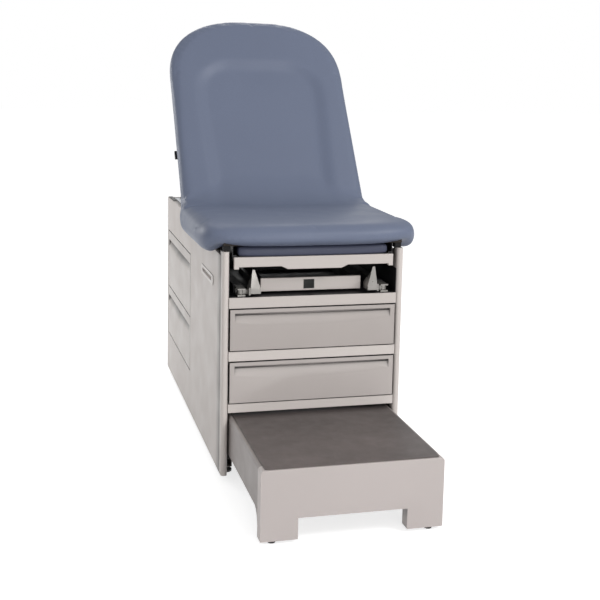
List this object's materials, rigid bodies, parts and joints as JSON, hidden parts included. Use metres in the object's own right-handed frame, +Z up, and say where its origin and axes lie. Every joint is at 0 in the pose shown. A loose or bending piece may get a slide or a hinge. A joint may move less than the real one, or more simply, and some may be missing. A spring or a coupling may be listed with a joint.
{
  "type": "examination table",
  "caption": "Box-type examination table with a hinged back on a locking strut, pull-out leg rest, step, stirrups and pan, and front and side drawers.",
  "frame": {"origin": "on the floor, under the middle of the part with its step out", "axes": "+Z up, +Y from the step towards the head end, +X to the right as seen from the step"},
  "size_m": [0.74, 1.82, 1.5438],
  "materials": {
    "paint": "fine textured satin powder coat",
    "paint_inner": "satin powder coat",
    "drawer_face": "satin moulded, a shade greyer than the paint",
    "vinyl": "vinyl-coated fabric over foam, satin with a fine grain",
    "vinyl_dark": "vinyl-coated fabric over foam, satin with a fine grain",
    "step_paint": "satin powder coat, darker than the cabinet's",
    "tread_rubber": "fine-grained matte rubber",
    "black_plastic": "matte moulded",
    "black_rubber": "matte",
    "black_steel": "satin black enamel",
    "zinc_steel": "bright zinc plate",
    "stirrup_metal": "satin cast",
    "plywood": "bare plywood"
  },
  "bodies": {
    "cabinet": {"left_side_panel": "paint", "right_side_panel": "paint", "front_posts": "paint", "rear_panel": "paint", "bulkhead": "paint_inner", "base_frame": "paint_inner", "sill_rail": "paint", "drawer_rails": "paint", "bay_liner": "black_plastic", "head_deck": "paint_inner", "hinge_carrier": "black_steel", "seat_board": "plywood", "seat_cushion": "vinyl", "seat_brackets": "black_plastic", "legrest_runners": "black_steel", "pan_runners": "black_steel", "stirrup_guides": "black_steel", "step_runners": "black_steel", "front_drawer_runners": "zinc_steel", "side_drawer_runners": "zinc_steel", "strut_tracks": "zinc_steel", "grip_bezels": "drawer_face", "edge_bumpers": "black_rubber", "levelling_feet": "black_rubber", "panel_screws": "zinc_steel"},
    "back": {"back_board": "plywood", "back_cushion": "vinyl", "back_rails": "black_steel", "strut_pins": "zinc_steel"},
    "strut": {"strut_bars": "zinc_steel"},
    "foot_axle": {"foot_tube": "zinc_steel", "foot_rollers": "black_plastic"},
    "left_lock": {"left_lock_pin": "zinc_steel"},
    "right_lock": {"right_lock_pin": "zinc_steel"},
    "release": {"release_bar": "black_steel"},
    "leg_rest": {"legrest_bar": "paint", "legrest_carrier": "black_steel", "legrest_cushion": "vinyl_dark"},
    "step": {"step_deck": "step_paint", "step_front": "paint", "step_tread": "tread_rubber", "step_slides": "zinc_steel", "step_feet": "black_rubber"},
    "upper_drawer": {"upper_drawer_front": "drawer_face", "upper_drawer_box": "zinc_steel"},
    "lower_drawer": {"lower_drawer_front": "drawer_face", "lower_drawer_box": "zinc_steel"},
    "side_upper_drawer": {"side_upper_drawer_front": "drawer_face", "side_upper_drawer_box": "zinc_steel"},
    "side_lower_drawer": {"side_lower_drawer_front": "drawer_face", "side_lower_drawer_box": "zinc_steel"},
    "pan": {"pan_front": "paint", "pan_badge": "black_plastic", "treatment_pan": "black_plastic"},
    "left_arm": {"left_stirrup_arm": "stirrup_metal"},
    "right_arm": {"right_stirrup_arm": "stirrup_metal"},
    "left_head": {"left_stirrup_head": "stirrup_metal"},
    "right_head": {"right_stirrup_head": "stirrup_metal"},
    "left_cup": {"left_stirrup_cup": "stirrup_metal"},
    "right_cup": {"right_stirrup_cup": "stirrup_metal"}
  },
  "joints": [
    {"name": "back_hinge", "type": "hinge", "parent": "cabinet", "child": "back", "pos_m": [0, 0.173, 0.778], "axis": [1, 0, 0], "range_deg": [-54, 9]},
    {"name": "strut_hinge", "type": "hinge", "parent": "back", "child": "strut", "pos_m": [0, 0.36991, 1.04902], "axis": [1, 0, 0], "range_deg": [-18, 108]},
    {"name": "foot_axle_spin", "type": "hinge", "parent": "strut", "child": "foot_axle", "pos_m": [0, 0.56682, 0.778], "axis": [1, 0, 0], "continuous": true},
    {"name": "release_turn", "type": "hinge", "parent": "back", "child": "release", "pos_m": [0, 0.33398, 1.00467], "axis": [1, 0, 0], "range_deg": [-18, 0]},
    {"name": "left_lock_slide", "type": "slide", "parent": "foot_axle", "child": "left_lock", "axis": [-1, 0, 0], "range_m": [0, 0.006]},
    {"name": "right_lock_slide", "type": "slide", "parent": "foot_axle", "child": "right_lock", "axis": [1, 0, 0], "range_m": [0, 0.006]},
    {"name": "leg_rest_slide", "type": "slide", "parent": "cabinet", "child": "leg_rest", "axis": [0, -1, 0], "range_m": [0, 0.4]},
    {"name": "step_slide", "type": "slide", "parent": "cabinet", "child": "step", "axis": [0, 1, 0], "range_m": [0, 0.48]},
    {"name": "upper_drawer_slide", "type": "slide", "parent": "cabinet", "child": "upper_drawer", "axis": [0, -1, 0], "range_m": [0, 0.4]},
    {"name": "lower_drawer_slide", "type": "slide", "parent": "cabinet", "child": "lower_drawer", "axis": [0, -1, 0], "range_m": [0, 0.4]},
    {"name": "side_upper_drawer_slide", "type": "slide", "parent": "cabinet", "child": "side_upper_drawer", "axis": [-1, 0, 0], "range_m": [0, 0.38]},
    {"name": "side_lower_drawer_slide", "type": "slide", "parent": "cabinet", "child": "side_lower_drawer", "axis": [-1, 0, 0], "range_m": [0, 0.38]},
    {"name": "pan_slide", "type": "slide", "parent": "cabinet", "child": "pan", "axis": [0, -1, 0], "range_m": [0, 0.3]},
    {"name": "left_stirrup_slide", "type": "slide", "parent": "cabinet", "child": "left_arm", "axis": [0, -1, 0], "range_m": [0, 0.34]},
    {"name": "right_stirrup_slide", "type": "slide", "parent": "cabinet", "child": "right_arm", "axis": [0, -1, 0], "range_m": [0, 0.34]},
    {"name": "left_stirrup_swivel", "type": "hinge", "parent": "left_arm", "child": "left_head", "pos_m": [-0.242, -0.406, 0.6345], "axis": [0, 0, 1], "range_deg": [-35, 0]},
    {"name": "right_stirrup_swivel", "type": "hinge", "parent": "right_arm", "child": "right_head", "pos_m": [0.242, -0.406, 0.6345], "axis": [0, 0, 1], "range_deg": [0, 35]},
    {"name": "left_cup_tilt", "type": "hinge", "parent": "left_head", "child": "left_cup", "pos_m": [-0.1975, -0.424, 0.639], "axis": [1, 0, 0], "range_deg": [0, 80]},
    {"name": "right_cup_tilt", "type": "hinge", "parent": "right_head", "child": "right_cup", "pos_m": [0.1975, -0.424, 0.639], "axis": [1, 0, 0], "range_deg": [0, 80]}
  ],
  "couplings": [
    {"joint": "strut_hinge", "follows": "back_hinge", "ratio": -2},
    {"joint": "left_lock_slide", "follows": "release_turn", "m_per_rad": -0.019099},
    {"joint": "right_lock_slide", "follows": "release_turn", "m_per_rad": -0.019099}
  ]
}
